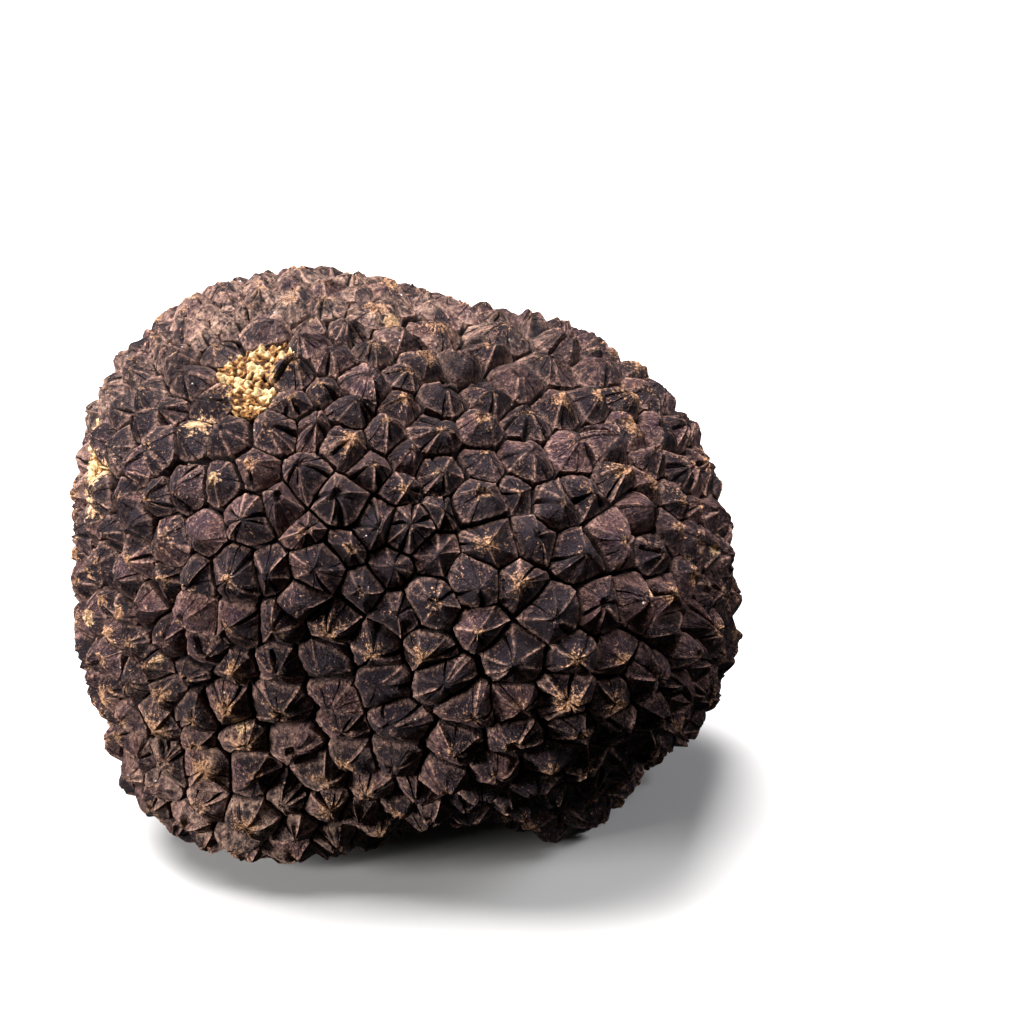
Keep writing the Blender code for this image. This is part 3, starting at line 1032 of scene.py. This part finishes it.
RIND_DARK = (0.0034, 0.0021, 0.0044, 1)
RIND_PURPLE = (0.0207, 0.0102, 0.016, 1)
RIND_BROWN = (0.038, 0.0168, 0.0152, 1)
RIND_PALE = (0.205, 0.112, 0.098, 1)
# Worn ridges with a painted highlight
RIDGE_WEAR_AND_HIGHLIGHT = (0.37, 0.215, 0.165, 1)
FIBRE_TAN = (0.48, 0.265, 0.145, 1)
FIBRE_BROWN = (0.095, 0.043, 0.022, 1)
GOLD = (0.42, 0.24, 0.09, 1)
# Pale dust, also the colour of painted light
DUST_AND_LIGHT_PINK = (0.37, 0.24, 0.18, 1)
# Painted shade of the cracks, near black
CRACK_SHADE_BLACK = (0.003, 0.0015, 0.0015, 1)
# Painted shade of the wart walls and the furrow floor, near black brown
FURROW_SHADE_BROWN = (0.005, 0.0028, 0.0028, 1)
# White specks, partly painted glints
SPECK_AND_GLINT_WHITE = (0.7, 0.66, 0.62, 1)
FLESH_CREAM = (0.46, 0.34, 0.18, 1)
FLESH_GOLD = (0.19, 0.082, 0.022, 1)
FLESH_DARK = (0.032, 0.011, 0.004, 1)
SPOT_CREAM = (0.55, 0.36, 0.21, 1)

# Noises of the rind, from the broadest to the finest: waves per metre, detail and roughness
RIND_NOISES = {
    "patches": (260.0, 3.0, 0.5),
    "browning": (420.0, 2.0, 0.5),
    "mottle": (1500.0, 4.0, 0.7),
    "crumbs": (3200.0, 3.0, 0.7),
    "grit": (6500.0, 2.0, 0.6),
}
# Streaks of the facets: how fine they are round the wart, and how soon they change on the way out
RIND_STREAKS = {"broad": (5.0, 0.8), "fine": (22.0, 5.0)}
RIND_MARKS = ("tone", "ridge", "fibre", "gold", "dust_and_light", "bare", "crack", "reach")

# Where each colour shows: how much the noises and marks count, the level of their sum at which the colour
# sets in and the one at which it covers, and how far it covers there
COVERS = {
    "browning": ({"browning": 1.0}, (0.4, 0.6), 1.0),
    "brown": (
        {"patches": 1.0, "tone": 1.5, "broad": 0.7, "fine": 0.5, "mottle": 0.8, "crumbs": 0.9},
        (2.55, 3.05),
        1.0,
    ),
    "pale": ({"mottle": 0.4, "fine": 1.0, "crumbs": 0.75, "tone": 0.3, "grit": 0.7}, (1.6, 1.92), 0.85),
    "worn_and_highlight": ({"crumbs": 1.0}, (0.37, 0.6), 1.0),
    "halo": ({"mottle": 0.9, "fibre": 0.9}, (0.7, 1.25), 0.7),
    "tan": ({"crumbs": 1.0, "grit": 1.0}, (0.8, 1.15), 1.0),
    "fibres": ({"mottle": 1.0, "crumbs": 1.0, "fibre": 0.55, "grit": 0.8}, (1.58, 1.86), 1.0),
    "gold": ({"mottle": 1.0, "crumbs": 1.0, "gold": 0.5}, (1.4, 1.6), 1.0),
    "dusty_and_lit": ({"mottle": 1.0}, (0.38, 0.7), 1.0),
    "dusty_and_lit_patches": ({"patches": 1.0}, (0.38, 0.58), 1.0),
    "cream": ({"crumbs": 1.0, "grit": 1.0}, (0.8, 1.1), 1.0),
    "bare": ({"mottle": 1.0, "crumbs": 1.0, "bare": 0.75}, (1.45, 1.62), 1.0),
    # Painted shade in the cracks
    "crack": ({"crack": 1.0}, (0.15, 0.8), 1.0),
    # Painted shade down the walls into the furrows
    "wall": ({"reach": 1.0}, (1.0, 1.4), 1.0),
}
RIDGE_COVER = 0.8
SPECK_SCALE = 700.0
SPECK_EDGE = (0.04, 0.08)
SPECKLESS_SHARE = 0.8  # of the cells that could hold a speck

ROUGH_PARTS = {"mottle": 1.0, "fine": 1.0}
ROUGH_LEVELS = (0.75, 1.3)
ROUGHNESS = (0.5, 0.25)
BUMP_PARTS = {"mottle": 1.4, "fine": 0.7, "crumbs": 0.8, "grit": 0.5}
BUMP_HEIGHT = 0.33 * MM


def rind_sources(shader, place, spoke_grain):
    """The noises, streaks and marks that the rind's colours, roughness and relief are made of, by name."""
    sources = {name: shader.noise(place, *settings) for name, settings in RIND_NOISES.items()}
    for name, (streaks, along) in RIND_STREAKS.items():
        sources[name] = shader.group(spoke_grain, {"Streaks": streaks, "Along": along}).outputs["Grain"]
    for name in RIND_MARKS:
        sources[name] = shader.mark(name)
    return sources


def white_specks_and_glints(shader, place):
    """Specks, partly painted glints, at the middles of a few cells of a Voronoi texture, picked by the cell's
    random colour.
    """
    cells = shader.add("ShaderNodeTexVoronoi", {"Vector": place, "Scale": SPECK_SCALE})
    close = shader.step(cells.outputs["Distance"], *SPECK_EDGE, 1.0, 0.0)
    lot = shader.add("ShaderNodeSeparateColor", {0: cells.outputs["Color"]}).outputs[0]
    return shader.times(close, shader.maths("GREATER_THAN", lot, SPECKLESS_SHARE))


def rind_colour(shader, place, sources):
    """Colour over colour, each where its cover, a smooth step of a sum of noises and marks, says so.

    Dark facets turn purple or brown, with pale streaks, and ridges that are worn and carry a painted
    highlight.
    Then come the tip's tan crumbs on a brown halo, gold crumbs round the broken places, dust with painted
    light, spots worn down to the flesh, a few white specks that are partly painted glints, and last the
    painted shade of the cracks and the walls, near black.
    """

    def cover(name):
        parts, levels, share = COVERS[name]
        return shader.step(shader.total(sources, parts), *levels, 0.0, share)

    brown = shader.mix(cover("browning"), RIND_PURPLE, RIND_BROWN)
    # Dark where the tone is low, which holds the painted shade of the darker places
    colour = shader.mix(cover("brown"), RIND_DARK, brown)
    colour = shader.mix(cover("pale"), colour, RIND_PALE)
    # Ridges: wear and a painted highlight along the crests and the shoulder rims
    worn_and_highlight = shader.times(sources["ridge"], cover("worn_and_highlight"))
    colour = shader.mix(shader.times(worn_and_highlight, RIDGE_COVER), colour, RIDGE_WEAR_AND_HIGHLIGHT)
    colour = shader.mix(cover("halo"), colour, FIBRE_BROWN)
    crumbs = shader.mix(cover("tan"), FIBRE_BROWN, FIBRE_TAN)
    colour = shader.mix(cover("fibres"), colour, crumbs)
    colour = shader.mix(cover("gold"), colour, GOLD)
    # Dust, partly painted light that pales the top and the left
    dust_and_light = shader.times(sources["dust_and_light"], cover("dusty_and_lit"))
    colour = shader.mix(shader.times(dust_and_light, cover("dusty_and_lit_patches")), colour, DUST_AND_LIGHT_PINK)
    flesh = shader.mix(cover("cream"), FLESH_GOLD, SPOT_CREAM)
    colour = shader.mix(cover("bare"), colour, flesh)
    # White specks, partly painted glints
    colour = shader.mix(white_specks_and_glints(shader, place), colour, SPECK_AND_GLINT_WHITE)
    # Painted shade: the cracks turn near black
    colour = shader.mix(cover("crack"), colour, CRACK_SHADE_BLACK)
    # Painted shade: the walls down into the furrows turn near black brown
    return shader.mix(cover("wall"), colour, FURROW_SHADE_BROWN)


def rind_material(spoke_grain):
    """Dark warty rind, slightly glossy, with fine relief."""
    material, shader, surface = new_material("wart_rind")
    place = shader.add("ShaderNodeTexCoord").outputs["Object"]
    sources = rind_sources(shader, place, spoke_grain)
    shader.link(rind_colour(shader, place, sources), surface, "Base Color")
    rough = shader.step(shader.total(sources, ROUGH_PARTS), *ROUGH_LEVELS, *ROUGHNESS)
    shader.link(rough, surface, "Roughness")
    shader.link(shader.bump(shader.total(sources, BUMP_PARTS), BUMP_HEIGHT), surface, "Normal")
    surface.inputs["Specular IOR Level"].default_value = 0.17
    surface.inputs["Specular Tint"].default_value = (1.0, 0.76, 0.83, 1)
    surface.inputs["Sheen Weight"].default_value = 0.015
    surface.inputs["Sheen Roughness"].default_value = 0.5
    return material


FURROW_NOISE = (1800.0, 3.0, 0.6)
FURROW_LEVELS = (0.4, 0.7)
FURROW_BUMP = (0.1 * MM, 0.6)  # height and strength


def furrow_material():
    """The skin at the bottom of the furrows: painted shade, almost black brown, with grains of rind brown."""
    material, shader, surface = new_material("furrow_skin")
    place = shader.add("ShaderNodeTexCoord").outputs["Object"]
    grains = shader.noise(place, *FURROW_NOISE)
    colour = shader.mix(shader.step(grains, *FURROW_LEVELS), FURROW_SHADE_BROWN, RIND_BROWN)
    shader.link(colour, surface, "Base Color")
    shader.link(shader.bump(grains, *FURROW_BUMP), surface, "Normal")
    surface.inputs["Roughness"].default_value = 0.8
    surface.inputs["Specular IOR Level"].default_value = 0.1
    return material


FLESH_NOISE = (1400.0, 4.0, 0.7)
FLESH_CRUMB_SHARE = 0.14
FLESH_GOLD_LEVELS = (0.4, 0.52)
FLESH_CREAM_LEVELS = (0.52, 0.68)
FLESH_BUMP = 0.5 * MM


def flesh_material():
    """Bare flesh where warts have broken off: cream and gold crumbs with dark gaps between them."""
    material, shader, surface = new_material("bare_flesh")
    place = shader.add("ShaderNodeTexCoord").outputs["Object"]
    grains = shader.noise(place, *FLESH_NOISE)
    level = shader.maths("MULTIPLY_ADD", shader.mark("crumb"), FLESH_CRUMB_SHARE, grains)
    colour = shader.mix(shader.step(level, *FLESH_GOLD_LEVELS), FLESH_DARK, FLESH_GOLD)
    colour = shader.mix(shader.step(level, *FLESH_CREAM_LEVELS), colour, FLESH_CREAM)
    shader.link(colour, surface, "Base Color")
    shader.link(shader.bump(grains, FLESH_BUMP), surface, "Normal")
    surface.inputs["Roughness"].default_value = 0.5
    surface.inputs["Specular IOR Level"].default_value = 0.2
    surface.inputs["Specular Tint"].default_value = (1.0, 0.8, 0.55, 1)
    return material


def dress_truffle():
    """The ground under the furrows, the warts in six pieces by region, and the flesh of the broken ones."""
    warts = Warts()
    rind = rind_material(spoke_grain_group())
    core_piece(furrow_material())
    for number, (name, chosen) in enumerate(wart_regions(warts)):
        fine = FineWarts(Cells(warts, chosen, COLUMNS), np.random.default_rng(WART_SEED + number))
        rooted_piece(name, fine.surface(), rind)
    cells = Cells(warts, np.flatnonzero(warts.chipped), FLESH_COLUMNS)
    rooted_piece("bare_flesh", flesh_surface(cells), flesh_material())


FLOOR_SIZE = 6.0
FLOOR_GAP = 0.02 * MM
FLOOR_COLOUR = (0.44, 0.44, 0.44, 1)


def lay_floor():
    """A wide floor that takes the shadow, but throws no light back and isn't mirrored in the truffle."""
    material, _, surface = new_material("studio_floor")
    surface.inputs["Base Color"].default_value = FLOOR_COLOUR
    surface.inputs["Roughness"].default_value = 0.6
    mesh = bpy.data.meshes.new("studio_floor")
    half = FLOOR_SIZE / 2
    corners = [(-half, -half), (half, -half), (half, half), (-half, half)]
    mesh.from_pydata([(x, y, -FLOOR_GAP) for x, y in corners], [], [(0, 1, 2, 3)])
    mesh.materials.append(material)
    floor = bpy.data.objects.new("studio_floor", mesh)
    bpy.context.scene.collection.objects.link(floor)
    floor.visible_diffuse = False
    floor.visible_glossy = False


# Camera: where it looks, from how far and how high, and where that point is in the picture
LOOK_AT = Vector(mm(-1.424, -1.332, 27.0))
CAMERA_DISTANCE = 273.6 * MM
CAMERA_ELEVATION = math.radians(22.0)
CAMERA_LENS = 100.0
SENSOR_WIDTH = 36.0
CAMERA_RANGE = (0.01, 20.0)
PICTURE_SIZE = 1024
LOOK_AT_PIXEL = (402, 566)


def place_camera():
    """A long lens before the truffle, shifted so that it stands where the photograph has it."""
    camera = bpy.data.objects.new("camera", bpy.data.cameras.new("camera"))
    back = Vector((0, -math.cos(CAMERA_ELEVATION), math.sin(CAMERA_ELEVATION)))
    camera.location = LOOK_AT + back * CAMERA_DISTANCE
    camera.rotation_euler = (-back).to_track_quat("-Z", "Y").to_euler()
    camera.data.lens = CAMERA_LENS
    camera.data.sensor_width = SENSOR_WIDTH
    camera.data.shift_x = (PICTURE_SIZE / 2 - LOOK_AT_PIXEL[0]) / PICTURE_SIZE
    camera.data.shift_y = (LOOK_AT_PIXEL[1] - PICTURE_SIZE / 2) / PICTURE_SIZE
    camera.data.clip_start, camera.data.clip_end = CAMERA_RANGE
    bpy.context.scene.collection.objects.link(camera)
    bpy.context.scene.camera = camera


# Soft lights: place, size, power and colour of each
LIGHTS = {
    "key": ((-0.5, 0.08, 1.86), 1.6, 220.0, (1.0, 0.975, 0.97)),
    "left": ((-1.93, -0.84, 0.44), 0.6, 132.0, (1.0, 0.985, 0.97)),
    "right": ((1.5, 0.1, 1.3), 0.6, 26.0, (0.97, 0.97, 1.0)),
}
WORLD_STRENGTH = 0.04


def place_lights():
    """Square lights that face the truffle, and a faint even light from all round."""
    for name, (place, size, power, colour) in LIGHTS.items():
        light = bpy.data.lights.new(name, "AREA")
        light.size = size
        light.energy = power
        light.color = colour
        lamp = bpy.data.objects.new(name, light)
        lamp.location = place
        lamp.rotation_euler = (LOOK_AT - Vector(place)).to_track_quat("-Z", "Y").to_euler()
        bpy.context.scene.collection.objects.link(lamp)
    world = bpy.data.worlds.new("studio")
    world.use_nodes = True
    world.node_tree.nodes["Background"].inputs["Color"].default_value = (1, 1, 1, 1)
    world.node_tree.nodes["Background"].inputs["Strength"].default_value = WORLD_STRENGTH
    bpy.context.scene.world = world
    bpy.context.scene.view_settings.view_transform = "Standard"


dress_truffle()
lay_floor()
place_camera()
place_lights()
